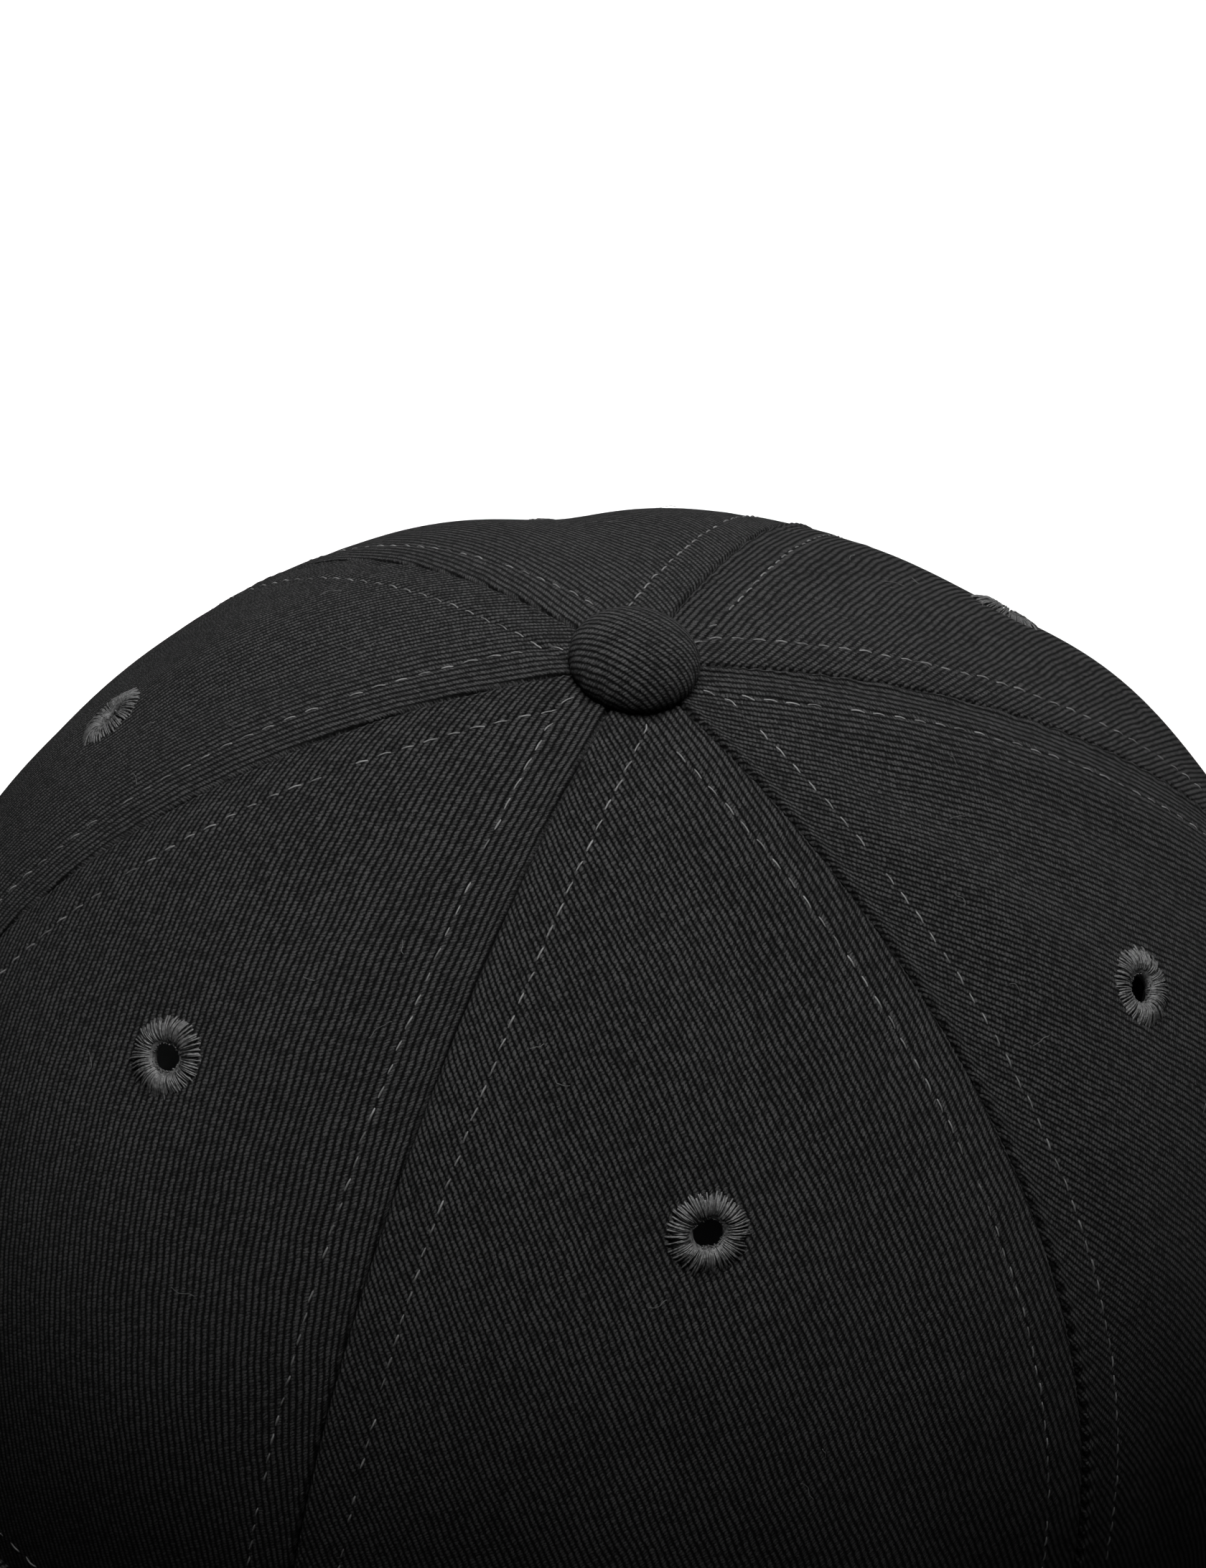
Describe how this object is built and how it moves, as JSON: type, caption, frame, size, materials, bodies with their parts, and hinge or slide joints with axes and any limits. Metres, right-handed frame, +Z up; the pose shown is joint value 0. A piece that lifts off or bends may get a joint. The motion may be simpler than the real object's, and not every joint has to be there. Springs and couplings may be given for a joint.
{
  "type": "baseball cap",
  "caption": "Soft baseball cap in black cotton twill: sewn panels, covered top button, curved visor, open back with a strap and metal clasp.",
  "frame": {"origin": "centre of the head opening, on the plane that the lower edge of the sweatband and crown rests on", "axes": "+Z up through the crown, the visor points to -Y, +X is the wearer's left"},
  "size_m": [0.1704, 0.2741, 0.13],
  "materials": {
    "twill": "matte cotton twill",
    "tape": "matte plain woven tape",
    "thread": "soft sheen embroidery thread",
    "band": "matte cotton sweatband",
    "board": "matte plastic board",
    "shell_metal": "plain pressed metal",
    "clasp_metal": "dark satin plated metal"
  },
  "bodies": {
    "cap": {"front_panel_left": "twill", "front_panel_right": "twill", "side_panel_left": "twill", "side_panel_right": "twill", "back_panel_left": "twill", "back_panel_right": "twill", "seam_tape_front": "tape", "seam_tape_back": "tape", "seam_tape_front_left": "tape", "seam_tape_front_right": "tape", "seam_tape_back_left": "tape", "seam_tape_back_right": "tape", "eyelet_front_left": "thread", "eyelet_front_right": "thread", "eyelet_side_left": "thread", "eyelet_side_right": "thread", "eyelet_back_left": "thread", "eyelet_back_right": "thread", "button_cover": "twill", "button_shell": "shell_metal", "button_tack": "shell_metal", "visor_board": "board", "visor_top_cover": "twill", "visor_under_cover": "twill", "sweatband": "band", "arch_binding": "twill", "clasp_tab": "twill", "clasp_frame": "clasp_metal", "clasp_pin": "clasp_metal"},
    "strap": {"closure_strap": "twill"},
    "lever": {"clasp_lever": "clasp_metal"}
  },
  "joints": [
    {"name": "strap_slide", "type": "hinge", "parent": "cap", "child": "strap", "pos_m": [0, 0.0263, 0], "axis": [0, 0, 1], "range_deg": [-7, 7]},
    {"name": "lever_hinge", "type": "hinge", "parent": "cap", "child": "lever", "pos_m": [-0.01276, 0.10053, 0.01506], "axis": [-0.0047, 0.0271, -0.9996], "range_deg": [0, 100]}
  ]
}
